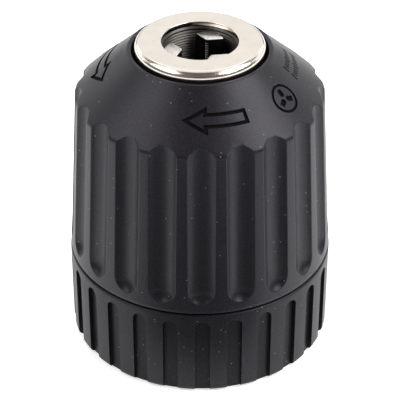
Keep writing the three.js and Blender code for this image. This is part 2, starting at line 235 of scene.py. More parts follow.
def recess_shade_material(name, code):
    """Near-black, matt colour on the engraved marks' faces, barely reflecting: painted shade of the
    recesses, so they read clearly.
    """
    material, tree, shader, place = start_material(name)
    chalk = add_node(tree, "ShaderNodeTexNoise", {"Vector": place, "Scale": 1 / (0.4 * MM)})
    colour = ramp(tree, chalk.outputs["Fac"], (0.3, shade(code, 0.7)), (0.7, shade(code, 1.4)))
    tree.links.new(colour, shader.inputs["Base Color"])
    shader.inputs["Roughness"].default_value = 0.85
    shader.inputs["Specular IOR Level"].default_value = 0.12
    return material


def plated_nickel(code):
    """Bright nickel over stamped steel: warm mirror with faint polishing haze."""
    material, tree, shader, place = start_material("nickel_plated_polished")
    haze = add_node(tree, "ShaderNodeTexNoise", {
        "Vector": place, "Scale": 1 / (2.4 * MM), "Detail": 5.0, "Roughness": 0.6})
    pits = add_node(tree, "ShaderNodeTexVoronoi", {
        "Vector": place, "Scale": 1 / (2.2 * MM), "Randomness": 1.0})
    colour = ramp(tree, haze.outputs["Fac"], (0.3, shade(code, 0.93)), (0.7, linear(code)))
    spots = ramp(tree, pits.outputs["Distance"],
                 (0.03, (0.55, 0.5, 0.45, 1)), (0.055, (1, 1, 1, 1)))
    mixed = add_node(tree, "ShaderNodeMix", {
        "Factor": 1.0, 6: colour, 7: spots}, data_type="RGBA", blend_type="MULTIPLY")
    tree.links.new(mixed.outputs[2], shader.inputs["Base Color"])
    gloss = add_node(tree, "ShaderNodeMapRange", {
        "Value": haze.outputs["Fac"], "To Min": 0.13, "To Max": 0.24})
    tree.links.new(gloss.outputs["Result"], shader.inputs["Roughness"])
    bump = add_node(tree, "ShaderNodeBump", {
        "Height": haze.outputs["Fac"], "Strength": 0.25, "Distance": 0.02 * MM})
    tree.links.new(bump.outputs["Normal"], shader.inputs["Normal"])
    shader.inputs["Metallic"].default_value = 1.0
    return material


def worked_steel(name, code, stretch, groove, low, high):
    """Steel cut or ground in one direction: stretch sets the lay of its fine lines."""
    material, tree, shader, place = start_material(name)
    lay = add_node(tree, "ShaderNodeMapping", {"Vector": place, "Scale": stretch})
    lines = add_node(tree, "ShaderNodeTexNoise", {
        "Vector": lay.outputs["Vector"], "Scale": 1 / groove, "Detail": 4.0})
    stain = add_node(tree, "ShaderNodeTexNoise", {
        "Vector": place, "Scale": 1 / (3.5 * MM), "Detail": 3.0})
    colour = ramp(tree, lines.outputs["Fac"],
                  (0.3, shade(code, 0.75)), (0.5, linear(code)), (0.75, shade(code, 1.15)))
    tone = ramp(tree, stain.outputs["Fac"], (0.35, (0.82, 0.8, 0.78, 1)), (0.6, (1, 1, 1, 1)))
    mixed = add_node(tree, "ShaderNodeMix", {
        "Factor": 1.0, 6: colour, 7: tone}, data_type="RGBA", blend_type="MULTIPLY")
    tree.links.new(mixed.outputs[2], shader.inputs["Base Color"])
    gloss = add_node(tree, "ShaderNodeMapRange", {
        "Value": lines.outputs["Fac"], "To Min": low, "To Max": high})
    tree.links.new(gloss.outputs["Result"], shader.inputs["Roughness"])
    bump = add_node(tree, "ShaderNodeBump", {
        "Height": lines.outputs["Fac"], "Strength": 0.35, "Distance": 0.02 * MM})
    tree.links.new(bump.outputs["Normal"], shader.inputs["Normal"])
    shader.inputs["Metallic"].default_value = 1.0
    return material


# Mesh helpers


def turn(angle):
    return Matrix.Rotation(angle, 3, "Z")


def spun(profile, steps):
    """A closed ring turned about Z from (radius, height) points."""
    bm = bmesh.new()
    verts = [bm.verts.new((r, 0, z)) for r, z in profile]
    edges = [bm.edges.new(pair) for pair in zip(verts, verts[1:] + verts[:1])]
    bmesh.ops.spin(bm, geom=verts + edges, cent=(0, 0, 0), axis=(0, 0, 1),
                   angle=2 * math.pi, steps=steps, use_merge=True)
    bmesh.ops.remove_doubles(bm, verts=bm.verts[:], dist=0.5e-6)
    bmesh.ops.recalc_face_normals(bm, faces=bm.faces[:])
    return bm


def arc(r, z, radius, start, end, steps):
    """Points of a round stretch of a profile, by angles in degrees from outwards to up."""
    angles = [math.radians(start + (end - start) * i / steps) for i in range(steps + 1)]
    return [(r + radius * math.cos(a), z + radius * math.sin(a)) for a in angles]


def rows(start, end, spacing):
    """Evenly spaced heights from start up to, but without, end."""
    count = max(1, round((end - start) / spacing))
    return [start + (end - start) * i / count for i in range(count)]


def prism(outline, depth):
    """A plate of the outline, in X and Z, reaching from y = 0 to -depth."""
    bm = bmesh.new()
    face = bm.faces.new([bm.verts.new((x, 0, z)) for x, z in outline])
    grown = bmesh.ops.extrude_face_region(bm, geom=[face])
    moved = [v for v in grown["geom"] if isinstance(v, bmesh.types.BMVert)]
    bmesh.ops.translate(bm, verts=moved, vec=(0, -depth, 0))
    bmesh.ops.recalc_face_normals(bm, faces=bm.faces[:])
    return bm


def repeated(bm, count):
    """Adds copies of everything in bm, evenly spaced about Z."""
    source = bm.verts[:] + bm.edges[:] + bm.faces[:]
    for i in range(1, count):
        made = bmesh.ops.duplicate(bm, geom=source)["geom"]
        verts = [v for v in made if isinstance(v, bmesh.types.BMVert)]
        bmesh.ops.rotate(bm, verts=verts, cent=(0, 0, 0), matrix=turn(2 * math.pi * i / count))
    return bm


def to_object(name, bm):
    mesh = bpy.data.meshes.new(name)
    bm.to_mesh(mesh)
    bm.free()
    obj = bpy.data.objects.new(name, mesh)
    bpy.context.scene.collection.objects.link(obj)
    return obj


def carve(obj, tool, lining=None):
    """Cuts the tool's mesh from the object; a lining is the material of the cut's own faces."""
    cutter = to_object(obj.name + "_tool", tool)
    if lining:
        cutter.data.materials.append(lining)
    modifier = obj.modifiers.new("carve", "BOOLEAN")
    modifier.operation = "DIFFERENCE"
    modifier.solver = "EXACT"
    modifier.material_mode = "TRANSFER" if lining else "INDEX"
    modifier.object = cutter
    graph = bpy.context.evaluated_depsgraph_get()
    carved = bpy.data.meshes.new_from_object(obj.evaluated_get(graph))
    obj.modifiers.remove(modifier)
    obj.data = carved
    bpy.data.objects.remove(cutter)


def settle(obj, material, body, slot, *nodes, angle=35):
    """Shades the piece, gives it the material if it has none, hangs it on its body and hides the CAD nodes
    it stands in for.
    """
    if not any(obj.data.materials):
        obj.data.materials.clear()
        obj.data.materials.append(material)
    obj.data.shade_smooth()
    obj.data.set_sharp_from_angle(angle=math.radians(angle))
    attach(obj, body)
    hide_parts(*nodes)
    return obj


# Front sleeve


def land_radius(s, z):
    return s.outer_radius - LAND_DROP - (z - seam_height(s)) * math.tan(s.taper)


def seam_height(s):
    return FRONT_LOW.z - s.seam / 2


def shoulder_outline(s):
    """Points from the top of the lands over the corner and up the cone to the lip."""
    slope = math.tan(s.shoulder_slope)
    lean = math.tan(s.taper)
    lip = TOP - s.lip_drop
    rise = lip + s.lip_radius * slope
    base = s.outer_radius - LAND_DROP + seam_height(s) * lean
    corner_r = (base - lean * rise) / (1 - lean * slope)
    corner_z = rise - corner_r * slope
    start = Vector((land_radius(s, corner_z - s.corner), corner_z - s.corner))
    control = Vector((corner_r, corner_z))
    end = control + Vector((-1, slope)) * s.corner * 0.75
    points = []
    for i in range(13):
        t = i / 12
        points.append(start * (1 - t) ** 2 + control * 2 * t * (1 - t) + end * t * t)
    cone = [end.lerp(Vector((s.lip_radius, lip)), i / 24) for i in range(1, 24)]
    return [tuple(p) for p in points + cone], corner_z


def flute_centre(s, z):
    """Radius of the flute's own round, and how far its middle lies from the chuck's axis."""
    radius = (s.flute_width ** 2 / 4 + s.flute_depth ** 2) / (2 * s.flute_depth)
    return radius, land_radius(s, z) - s.flute_depth + radius


def flute_middle(s):
    """Height of the middle of a flute's round end."""
    return s.flute_end + seam_height(s) + s.flute_width / 2


def sleeve_profile(s):
    base = seam_height(s) + s.seam / 2
    shoulder, corner_z = shoulder_outline(s)
    lip = TOP - s.lip_drop
    opening = 12.0 * MM
    middle, half = flute_middle(s), s.flute_width / 2
    heights = rows(base + 0.25 * MM, middle - half, 0.6 * MM)
    heights += [middle - half * math.cos(math.pi / 2 * i / 14) for i in range(14)]
    heights += rows(middle, shoulder[0][1] - 1 * MM, 1.6 * MM) + [shoulder[0][1] - 0.3 * MM]
    outside = [(land_radius(s, base) - 0.22 * MM, base)]
    outside += [(land_radius(s, base) - 0.07 * MM, base + 0.07 * MM)]
    outside += [(land_radius(s, z), z) for z in heights] + shoulder
    outside += arc(s.lip_radius - 0.25 * MM, lip - 0.12 * MM, 0.33 * MM, 48, 90, 4)
    outside += arc(opening + 0.2 * MM, lip + 0.01 * MM, 0.2 * MM, 90, 180, 4)
    under = lip - s.wall - 1.2 * MM
    inner = corner_z - 5 * MM
    thick = s.flute_depth + s.wall
    shoulder_r = land_radius(s, corner_z) - thick
    drop = (shoulder_r - opening) * math.tan(s.shoulder_slope)
    inside = [
        (opening, under),
        (shoulder_r, under - drop),
        (land_radius(s, inner) - thick, inner),
        (land_radius(s, base) - thick, base),
    ]
    return outside + inside


def flute_edge(s, r, z):
    """Azimuth from a flute's middle to its edge, where the skin's radius is r."""
    radius, centre = flute_centre(s, z)
    below = min(z - flute_middle(s), 0.0)
    level = radius ** 2 - below ** 2
    cosine = (r * r + centre * centre - level) / (2 * r * centre)
    return math.acos(cosine) if level > 0 and cosine < 1 else 0.0


def column_azimuth(s, column, edge):
    """Azimuth of one of a sector's columns, crowded about the flute's edge."""
    sector = math.pi / s.flutes
    band = s.edge_round / s.outer_radius
    inner, outer = max(edge - 2 * band, 0.25 * sector), max(edge + 2 * band, 0.35 * sector)
    side = math.copysign(1, column)
    step = abs(column)
    if step <= FLUTE_COLUMNS:
        return side * inner * step / FLUTE_COLUMNS
    if step <= FLUTE_COLUMNS + EDGE_COLUMNS:
        return side * (inner + (outer - inner) * (step - FLUTE_COLUMNS) / EDGE_COLUMNS)
    land = HALF_SECTOR - FLUTE_COLUMNS - EDGE_COLUMNS
    return side * (outer + (sector - outer) * (step - FLUTE_COLUMNS - EDGE_COLUMNS) / land)


def flute_floor(s, azimuth, z):
    """Radius of the flute's surface at an azimuth from its middle, or None beside it."""
    radius, centre = flute_centre(s, z)
    below = min(z - flute_middle(s), 0.0)
    reach = radius ** 2 - below ** 2 - (centre * math.sin(azimuth)) ** 2
    return centre * math.cos(azimuth) - math.sqrt(reach) if reach > 0 else None


def press_flutes(s, bm):
    """Moves the sleeve's outer skin in to the flutes, with finely rounded edges."""
    sector = 2 * math.pi / s.flutes
    thick = s.flute_depth + s.wall
    for vert in bm.verts:
        x, y, z = vert.co
        r = math.hypot(x, y)
        if r < land_radius(s, z) - thick * 0.8 and z < TOP - 11 * MM or r < 15 * MM:
            continue
        azimuth = math.atan2(y, x) + math.pi / 2
        middle = sector * round(azimuth / sector)
        column = round((azimuth - middle) / sector * 2 * HALF_SECTOR)
        azimuth = column_azimuth(s, column, flute_edge(s, r, z))
        floor = flute_floor(s, azimuth, z)
        if floor is not None and floor - r <= s.edge_round:
            share = min(max(0.5 + 0.5 * (floor - r) / s.edge_round, 0.0), 1.0)
            r = floor + (r - floor) * share - s.edge_round * share * (1 - share)
        heading = middle + azimuth - math.pi / 2
        vert.co = (r * math.cos(heading), r * math.sin(heading), z)


def outline_strip(points, width):
    """A closed line of even width through (x, z) points, as one face."""
    corners = [Vector(p) for p in points]
    loops = []
    bm = bmesh.new()
    for side in (-0.5, 0.5):
        verts = []
        for i, corner in enumerate(corners):
            before = (corner - corners[i - 1]).normalized()
            after = (corners[(i + 1) % len(corners)] - corner).normalized()
            bisector = (before + after).normalized()
            normal = Vector((bisector.y, -bisector.x))
            stretch = max(before.dot(bisector), 0.35)
            spot = corner + normal * side * width / stretch
            verts.append(bm.verts.new((spot.x, 0, spot.y)))
        loops += [bm.edges.new(pair) for pair in zip(verts, verts[1:] + verts[:1])]
    bmesh.ops.bridge_loops(bm, edges=loops)
    return bm


def filled(points):
    bm = bmesh.new()
    bm.faces.new([bm.verts.new((x, 0, z)) for x, z in points])
    return bm


def ring_points(radius, count, x=0.0, z=0.0):
    angles = [2 * math.pi * i / count for i in range(count)]
    return [(x + radius * math.cos(a), z + radius * math.sin(a)) for a in angles]


def arrow_points(length, width, way):
    """A block arrow, pointing along X by way, which is 1 or -1."""
    head = length / 2 - width * 0.85
    half = width * 0.26
    points = [(-length / 2, -half), (head, -half), (head, -width / 2), (length / 2, 0),
              (head, width / 2), (head, half), (-length / 2, half)]
    return [(x * way, z) for x, z in points]


def wedge_points(angle, inner, outer, half):
    """One jaw of the jaws sign: a wedge whose point faces the middle."""
    along = Vector((math.cos(angle), math.sin(angle)))
    across = Vector((-along.y, along.x)) * half
    spots = [along * inner, along * (inner + half * 0.6) + across, along * outer + across,
             along * outer - across, along * (inner + half * 0.6) - across]
    return [tuple(p) for p in spots]


def jaws_sign(opening):
    """Three wedges in a ring, as far apart as opening says."""
    line = 0.5 * MM
    shapes = [outline_strip(ring_points(2.5 * MM, 40), line)]
    for i in range(JAWS):
        angle = math.radians(90) + i * 2 * math.pi / JAWS
        shapes.append(filled(wedge_points(angle, opening, 1.75 * MM, 0.5 * MM)))
    return shapes


def tick_rows():
    """Two rows of plain ticks."""
    shapes = []
    for row in (-1, 1):
        for i in range(-5, 6):
            long = 0.75 * MM if i % 5 == 0 else 0.5 * MM
            x, z = i * 0.72 * MM, row * 1.0 * MM
            half = 0.16 * MM
            shapes.append(filled([(x - half, z - long), (x + half, z - long),
                                  (x + half, z + long), (x - half, z + long)]))
    return shapes


def wrap_on_cone(s, shapes, azimuth, radius, whole):
    """Thickens flat marks, wraps them on the shoulder at an azimuth from -Y, adds them to whole."""
    tilt = s.shoulder_slope
    height = TOP - s.lip_drop - (radius - s.lip_radius) * math.tan(tilt)
    for shape in shapes:
        grown = bmesh.ops.extrude_face_region(shape, geom=shape.faces[:])
        moved = [v for v in grown["geom"] if isinstance(v, bmesh.types.BMVert)]
        bmesh.ops.translate(shape, verts=moved, vec=(0, -1, 0))
        bmesh.ops.recalc_face_normals(shape, faces=shape.faces[:])
        xs = [v.co.x for v in shape.verts]
        for x in rows(min(xs) + 0.5 * MM, max(xs), 0.5 * MM):
            bmesh.ops.bisect_plane(shape, geom=shape.verts[:] + shape.edges[:] + shape.faces[:],
                                   plane_co=(x, 0, 0), plane_no=(1, 0, 0), dist=1e-7)
        for vert in shape.verts:
            proud = 0.4 * MM if vert.co.y < -0.5 else -s.mark_depth
            r = radius - vert.co.z * math.cos(tilt) + proud * math.sin(tilt)
            angle = azimuth + vert.co.x / radius
            z = height + vert.co.z * math.sin(tilt) + proud * math.cos(tilt)
            vert.co = (r * math.sin(angle), -r * math.cos(angle), z)
        piece = bpy.data.meshes.new("mark")
        shape.to_mesh(piece)
        shape.free()
        whole.from_mesh(piece)
        bpy.data.meshes.remove(piece)


def close_arrow(s):
    return [outline_strip(arrow_points(10.4 * MM, 4.0 * MM, -1), s.mark_line)]


def open_arrow(s):
    return [outline_strip(arrow_points(12.0 * MM, 4.0 * MM, 1), s.mark_line)]


class CHUCK_OT_front_sleeve(bpy.types.Operator):
    """Builds the fluted front sleeve with its engraved direction signs"""

    bl_idname = "chuck.front_sleeve"
    bl_label = "Front Sleeve"

    def execute(self, context):
        s = context.scene.chuck_sleeves
        bm = spun(sleeve_profile(s), s.flutes * 2 * HALF_SECTOR)
        press_flutes(s, bm)
        bmesh.ops.rotate(bm, verts=bm.verts[:], cent=(0, 0, 0), matrix=turn(s.flute_turn))
        sleeve = to_object("front_sleeve_shell", bm)
        plastic = bpy.data.materials["nylon_moulded_front"]
        sleeve.data.materials.append(plastic)
        # The marks' cut faces take the near-black material: painted shade in the engraved recesses.
        paint = bpy.data.materials["paint_matt_black"]
        signs = ((close_arrow(s), 9, 17.3 * MM), (jaws_sign(0.25 * MM), 56, 17.4 * MM),
                 (open_arrow(s), -98, 17.4 * MM), (tick_rows(), 91, 16.0 * MM))
        tool = bmesh.new()
        for shapes, azimuth, radius in signs:
            wrap_on_cone(s, shapes, math.radians(azimuth), radius, tool)
        bmesh.ops.recalc_face_normals(tool, faces=tool.faces[:])
        carve(sleeve, tool, paint)
        settle(sleeve, plastic, "sleeve", "grip_plastic", "front_sleeve", angle=32)
        return {"FINISHED"}


# Rear sleeve and cover


def slot_outline(s, low, high):
    half = s.slot_width / 2
    top = arc(0, high - half, half, 0, 180, 14)
    return [(half, low)] + top + [(-half, low)]


class CHUCK_OT_rear_sleeve(bpy.types.Operator):
    """Builds the slotted rear sleeve"""

    bl_idname = "chuck.rear_sleeve"
    bl_label = "Rear Sleeve"

    def execute(self, context):
        s = context.scene.chuck_sleeves
        top = seam_height(s) - s.seam / 2
        outer = s.outer_radius
        cavity = outer - 3.1 * MM
        hub = COVER_LOW_RADIUS
        spigot = land_radius(s, REAR_HIGH.z) - s.flute_depth - s.wall - GAP
        web = COVER_HIGH.z + GAP
        profile = [(cavity, 0.25 * MM), (cavity + 0.25 * MM, 0)]
        profile += arc(outer - 1.0 * MM, 1.0 * MM, 1.0 * MM, -90, 0, 8)
        profile += arc(outer - 0.35 * MM, top - 0.35 * MM, 0.35 * MM, 0, 90, 5)
        profile += [
            (spigot, top),
            (spigot, REAR_HIGH.z - 0.3 * MM),
            (spigot - 0.3 * MM, REAR_HIGH.z),
            (spigot - 0.8 * MM, REAR_HIGH.z),
            (spigot - 0.8 * MM, top - 1.0 * MM),
            (cavity, top - 2.0 * MM),
            (cavity, web + 5.0 * MM),
            (hub, web + 5.0 * MM),
            (hub, web),
            (cavity, web),
        ]
        sleeve = to_object("rear_sleeve_shell", spun(profile, s.slots * 6))
        end = seam_height(s) - s.slot_end
        tool = prism(slot_outline(s, -1.0 * MM, end), 3 * MM)
        shift = (0, -(outer - s.slot_depth), 0)
        bmesh.ops.translate(tool, verts=tool.verts[:], vec=shift)
        sleeve.data.materials.append(bpy.data.materials["nylon_moulded_rear"])
        # The slots' cut faces take a less reflective copy of the nylon: painted shade in the slots.
        carve(sleeve, repeated(tool, s.slots), bpy.data.materials["nylon_moulded_slots"])
        sleeve.data.transform(Matrix.Rotation(s.slot_turn, 4, "Z"))
        softened = sleeve.modifiers.new("edges", "BEVEL")
        softened.width = 0.19 * MM
        softened.segments = 3
        softened.harden_normals = True
        softened.angle_limit = math.radians(40)
        plastic = bpy.data.materials["nylon_moulded_rear"]
        settle(sleeve, plastic, "frame", "grip_plastic", "rear_sleeve", angle=40)
        return {"FINISHED"}


class CHUCK_OT_rear_cover(bpy.types.Operator):
    """Builds the stamped cover that closes the back of the rear sleeve"""

    bl_idname = "chuck.rear_cover"
    bl_label = "Rear Cover"

    def execute(self, context):
        low, high = COVER_LOW.z, COVER_HIGH.z
        inner, outer = COVER_LOW_RADIUS, COVER_HIGH.x
        step = 0.35 * MM
        profile = [(inner, low + step), (inner + 0.1 * MM, low)]
        profile += [(inner + 2.2 * MM, low), (inner + 2.8 * MM, low + step)]
        profile += [(outer - 2.6 * MM, low + step), (outer - 2.0 * MM, low)]
        profile += arc(outer - 0.3 * MM, low + 0.3 * MM, 0.3 * MM, -90, 0, 4)
        profile += [(outer, high), (inner, high)]
        cover = to_object("rear_cover_plate", spun(profile, 128))
        zinc = bpy.data.materials["zinc_passivated"]
        settle(cover, zinc, "frame", "race_steel", "rear_cover")
        return {"FINISHED"}


# Nosepiece and body


class CHUCK_OT_nosepiece(bpy.types.Operator):
    """Builds the stamped and plated nosepiece"""

    bl_idname = "chuck.nosepiece"
    bl_label = "Nosepiece"

    def execute(self, context):
        n = context.scene.chuck_nose
        outer = NOSE_HIGH.x
        wall = 0.8 * MM
        corner = outer - n.flat_radius
        profile = [(outer - wall, NOSE_LOW.z), (outer - 0.15 * MM, NOSE_LOW.z)]
        profile += [(outer, NOSE_LOW.z + 0.15 * MM)]
        profile += arc(n.flat_radius, TOP - corner, corner, 0, 90, 20)
        profile += arc(n.hole_radius + 0.12 * MM, TOP - 0.12 * MM, 0.12 * MM, 90, 180, 6)
        profile += arc(n.hole_radius + 0.1 * MM, TOP - n.plate + 0.1 * MM, 0.1 * MM, 180, 270, 3)
        profile += arc(outer - wall - 0.4 * MM, TOP - n.plate - 0.4 * MM, 0.4 * MM, 90, 0, 6)
        ring = to_object("nosepiece_cap", spun(profile, 192))
        nickel = bpy.data.materials["nickel_plated_polished"]
        settle(ring, nickel, "frame", "nickel", "nosepiece")
        return {"FINISHED"}


def ridged(radius, low, high, pitch, depth):
    """Tool ridges down a bore: peaks at the radius and valleys outside it."""
    count = max(1, round((high - low) / pitch))
    points = []
    for i in range(count):
        z = high - (high - low) * i / count
        points += [(radius, z), (radius + depth, z - pitch / 2)]
    return points


class CHUCK_OT_body(bpy.types.Operator):
    """Builds the turned steel body with its ridged bore and jaw holes"""

    bl_idname = "chuck.body"
    bl_label = "Chuck Body"

    def execute(self, context):
        n = context.scene.chuck_nose
        j = context.scene.chuck_jaws
        nose = TOP - n.plate - 0.05 * MM
        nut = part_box("nut_half_1")
        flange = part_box("rear_race")[0].z - GAP
        race = RACE_RADIUS - GAP
        tail = COVER_LOW_RADIUS - GAP
        tail_z = BODY_LOW.z
        nut_low, nut_high = nut[0].z - GAP, nut[1].z + GAP
        neck, collar, nose_r = 10.1 * MM, 12.4 * MM, 10.4 * MM
        flange_back = flange - 4.1 * MM
        socket, through = 5.75 * MM, 3.3 * MM
        floor = tail_z + 16.4 * MM
        profile = [(socket + 0.75 * MM, tail_z), (tail - 0.4 * MM, tail_z), (tail, tail_z + 0.4 * MM)]
        profile += [(tail, flange_back), (BODY_HIGH.x - 0.3 * MM, flange_back)]
        profile += [(BODY_HIGH.x, flange_back + 0.3 * MM), (BODY_HIGH.x, flange - 0.3 * MM)]
        profile += [(BODY_HIGH.x - 0.3 * MM, flange), (race, flange), (race, nut_low)]
        profile += [(neck, nut_low), (neck, nut_high), (collar, nut_high)]
        profile += [(collar, nut_high + 9 * MM), (nose_r, nut_high + 11 * MM), (nose_r, nose)]
        profile += [(n.bore_radius + 0.3 * MM, nose), (n.bore_radius, nose - 0.3 * MM)]
        low = floor + 4.0 * MM
        profile += ridged(n.bore_radius, low, nose - 0.45 * MM, n.ridge_pitch, n.ridge_depth)
        profile += [(n.bore_radius, low), (through, floor + 3 * MM), (through, floor)]
        profile += [(socket, floor)]
        profile += ridged(socket, tail_z + 0.9 * MM, floor - 0.6 * MM, 1.27 * MM, 0.5 * MM)
        body = to_object("chuck_body_turned", spun(profile, 160))
        drill = jaw_rod(j, j.radius + 0.25 * MM, 40, 6 * MM, 2 * j.length)
        bmesh.ops.rotate(drill, verts=drill.verts[:], cent=(0, 0, 0), matrix=turn(j.first))
        carve(body, repeated(drill, JAWS))
        steel = bpy.data.materials["steel_turned_oiled"]
        settle(body, steel, "frame", "body_steel", "chuck_body", angle=28)
        return {"FINISHED"}


# Jaws


def along_jaw(j, bm):
    """Places a mesh drawn with Z along a jaw and X away from the chuck's axis."""
    tip = Vector((j.grip + j.edge, 0, TIP))
    bmesh.ops.rotate(bm, verts=bm.verts[:], cent=(0, 0, 0), matrix=Matrix.Rotation(-j.slant, 3, "Y"))
    bmesh.ops.translate(bm, verts=bm.verts[:], vec=tip)
    return bm


def jaw_rod(j, radius, sides, ahead, length):
    """A round rod along a jaw, from ahead of its tip over a length."""
    bm = bmesh.new()
    bmesh.ops.create_cone(bm, cap_ends=True, segments=sides, radius1=radius, radius2=radius,
                          depth=length, matrix=Matrix.Translation((0, 0, ahead - length / 2)))
    return along_jaw(j, bm)


def trim(bm, point, normal):
    """Cuts away what lies in front of a plane and closes the cut."""
    cut = bmesh.ops.bisect_plane(bm, geom=bm.verts[:] + bm.edges[:] + bm.faces[:],
                                 plane_co=point, plane_no=normal, clear_outer=True, dist=1e-7)
    edges = [e for e in cut["geom_cut"] if isinstance(e, bmesh.types.BMEdge)]
    bmesh.ops.holes_fill(bm, edges=edges)


def comb(places, floor, half, edge, edge_half, back):
    """A flat comb's outline in (x, z): a tooth at each place, rooted at the back."""
    points = [(back, places[0] - edge_half - 0.05 * MM)]
    for place in places:
        points += [(edge, place - edge_half), (floor, place - half)]
        points += [(floor, place + half), (edge, place + edge_half)]
    points.append((back, places[-1] + edge_half + 0.05 * MM))
    return points


def thread_tool(j, azimuth):
    """Cuts the thread's teeth across the outer side of a jaw, in step with the nut."""
    offset = j.pitch * azimuth / (2 * math.pi)
    first = math.ceil((-j.length - offset) / j.pitch)
    last = math.floor((-j.smooth_length - offset) / j.pitch)
    places = [offset + i * j.pitch for i in range(first, last + 1)]
    floor = j.radius - j.tooth_depth
    edge = j.radius + 0.2 * MM
    tool = prism(comb(places, floor, 0.4 * MM, edge, 0.73 * MM, j.radius + 2 * MM), 8 * MM)
    bmesh.ops.translate(tool, verts=tool.verts[:], vec=(0, 4 * MM, 0))
    return along_jaw(j, tool)


def serration_tool(j):
    """Cuts fine level teeth into the gripping edge."""
    pitch = 0.46 * MM
    places = [TIP - 0.75 * MM - i * pitch for i in range(SERRATIONS)][::-1]
    floor = j.grip + 0.19 * MM
    tool = prism(comb(places, floor, 0.04 * MM, j.grip - 0.1 * MM, pitch / 2 - 0.02 * MM,
                      j.grip - 1 * MM), 6 * MM)
    bmesh.ops.translate(tool, verts=tool.verts[:], vec=(0, 3 * MM, 0))
    bmesh.ops.recalc_face_normals(tool, faces=tool.faces[:])
    return tool


class CHUCK_OT_jaws(bpy.types.Operator):
    """Builds the three ground jaws with their teeth and serrated gripping edges"""

    bl_idname = "chuck.jaws"
    bl_label = "Jaws"

    def execute(self, context):
        j = context.scene.chuck_jaws
        steel = bpy.data.materials["steel_black_oxide"]
        bright = bpy.data.materials["steel_ground_bright"]
        for i in range(JAWS):
            azimuth = j.first + i * 2 * math.pi / JAWS
            rod = jaw_rod(j, j.radius, 96, 3 * MM, j.length + 3 * MM)
            flat = j.grip + 0.12 * MM
            for side in (-1, 1):
                lean = math.radians(60) * side
                trim(rod, (j.grip, 0, 0), (-math.sin(abs(lean)), math.cos(lean) * side, 0))
            trim(rod, (flat, 0, 0), (-1, 0, 0))
            trim(rod, (0, 0, TIP), (0, 0, 1))
            rim = [e for e in rod.edges if all(abs(v.co.z - TIP) < 1e-6 for v in e.verts)]
            bmesh.ops.bevel(rod, geom=rim, offset=0.12 * MM, segments=2, profile=0.5,
                            affect="EDGES", material=-1)
            jaw = to_object(f"jaw_{i + 1}_ground", rod)
            jaw.data.materials.append(steel)
            jaw.data.materials.append(bright)
            carve(jaw, thread_tool(j, azimuth))
            carve(jaw, serration_tool(j), bright)
            jaw.data.transform(Matrix.Rotation(azimuth, 4, "Z"))
            for face in jaw.data.polygons:
                if face.normal.z > 0.5 and face.center.z > TIP - 0.3 * MM:
                    face.material_index = 1
            settle(jaw, steel, f"jaw_{i + 1}", "jaw_steel", f"jaw_{i + 1}", angle=30)
        return {"FINISHED"}


# Hidden drive and bearing


class CHUCK_OT_bearing(bpy.types.Operator):
    """Builds the thrust races with their ball tracks and the balls"""

    bl_idname = "chuck.bearing"
    bl_label = "Thrust Bearing"

    def execute(self, context):
        race = bpy.data.materials["steel_bearing_ground"]
        for name, body, side in (("front_race", "sleeve", -1), ("rear_race", "frame", 1)):
            low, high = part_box(name)
            outer, inner = high.x, RACE_RADIUS
            middle, track = (outer + inner) / 2, 0.9 * MM
            face, back = (low.z, high.z) if side < 0 else (high.z, low.z)
            groove, steps = [], 10
            for k in range(steps + 1):
                r = middle - track + 2 * track * k / steps
                dip = 0.25 * MM * (1 - ((r - middle) / track) ** 2)
                groove.append((r, face - side * dip))
            profile = [(inner + 0.15 * MM, face)] + groove + [(outer - 0.15 * MM, face)]
            profile += [(outer, face - side * 0.15 * MM), (outer, back), (inner, back)]
            profile += [(inner, face - side * 0.15 * MM)]
            ring = to_object(f"{name}_ground", spun(profile, 128))
            settle(ring, race, body, "race_steel", name)
        polished = bpy.data.materials["steel_ball_polished"]
        for name in sorted(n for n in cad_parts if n.startswith("ball_") and n != "ball_cage"):
            low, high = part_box(name)
            bm = bmesh.new()
            bmesh.ops.create_icosphere(bm, subdivisions=4, radius=BALL_RADIUS,
                                       matrix=Matrix.Translation((low + high) / 2))
            settle(to_object(f"{name}_polished", bm), polished, "cage", "ball_steel", name)
        return {"FINISHED"}


class CHUCK_OT_hidden_drive(bpy.types.Operator):
    """Gives the carried-over nut, nut band and cage their real metals"""

    bl_idname = "chuck.hidden_drive"
    bl_label = "Nut and Cage"

    def execute(self, context):
        metals = {"nut_half_1": "steel_hardened_nut", "nut_half_2": "steel_hardened_nut",
                  "nut_band": "steel_bearing_ground", "ball_cage": "brass_stamped"}
        for node, metal in metals.items():
            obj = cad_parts[node]
            obj.data.materials.clear()
            obj.data.materials.append(bpy.data.materials[metal])
        return {"FINISHED"}


